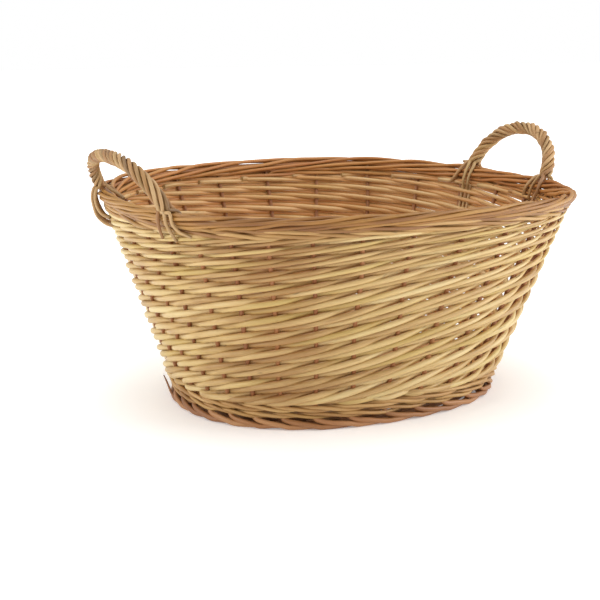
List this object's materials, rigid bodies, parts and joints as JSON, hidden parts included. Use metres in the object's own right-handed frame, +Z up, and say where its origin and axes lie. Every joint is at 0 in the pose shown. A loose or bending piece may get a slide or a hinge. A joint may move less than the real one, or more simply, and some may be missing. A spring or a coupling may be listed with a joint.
{
  "type": "oval willow basket",
  "caption": "Oval open basket woven from willow rods, with a flared wall, a rod border, a foot border and a roped arch handle at each end.",
  "frame": {"origin": "centre of the oval footprint, on the surface that the foot border stands on", "axes": "+Z up; X along the basket's long axis, from one handle to the other; Y across it"},
  "size_m": [0.6092, 0.4562, 0.3136],
  "materials": {
    "siding": "buff willow rods, smooth satin skin, pale straw to golden tan",
    "wale": "thin buff willow rods, satin",
    "border": "buff willow rods, satin, slightly browner than the wall",
    "foot_willow": "thicker reddish brown willow rods, satin",
    "stake": "brown willow rods, matt",
    "base_stick": "thick brown willow sticks, matt",
    "base_weave": "reddish tan willow rods, matt",
    "handle_core": "one thick brown willow rod",
    "handle_rope": "greyish tan willow rods twisted like rope, satin"
  },
  "bodies": {
    "root": {"base_long_stick_1": "base_stick", "base_long_stick_2": "base_stick", "base_long_stick_3": "base_stick", "base_cross_stick_1": "base_stick", "base_cross_stick_2": "base_stick", "base_cross_stick_3": "base_stick", "base_cross_stick_4": "base_stick", "base_cross_stick_5": "base_stick", "base_cross_stick_6": "base_stick", "base_weave": "base_weave", "side_stake_01": "stake", "side_stake_02": "stake", "side_stake_03": "stake", "side_stake_04": "stake", "side_stake_05": "stake", "side_stake_06": "stake", "side_stake_07": "stake", "side_stake_08": "stake", "side_stake_09": "stake", "side_stake_10": "stake", "side_stake_11": "stake", "side_stake_12": "stake", "side_stake_13": "stake", "side_stake_14": "stake", "side_stake_15": "stake", "side_stake_16": "stake", "side_stake_17": "stake", "side_stake_18": "stake", "side_stake_19": "stake", "side_stake_20": "stake", "side_stake_21": "stake", "side_stake_22": "stake", "side_stake_23": "stake", "side_stake_24": "stake", "side_stake_25": "stake", "side_stake_26": "stake", "side_stake_27": "stake", "side_stake_28": "stake", "side_stake_29": "stake", "side_stake_30": "stake", "foot_border": "foot_willow", "upsett_wale": "wale", "siding_lower": "siding", "siding_upper": "siding", "top_wale": "wale", "rim_border": "border", "left_handle_bow": "handle_core", "left_handle_strand_1": "handle_rope", "left_handle_strand_2": "handle_rope", "left_handle_strand_3": "handle_rope", "left_handle_strand_4": "handle_rope", "left_handle_strand_5": "handle_rope", "right_handle_bow": "handle_core", "right_handle_strand_1": "handle_rope", "right_handle_strand_2": "handle_rope", "right_handle_strand_3": "handle_rope", "right_handle_strand_4": "handle_rope", "right_handle_strand_5": "handle_rope"}
  },
  "joints": []
}
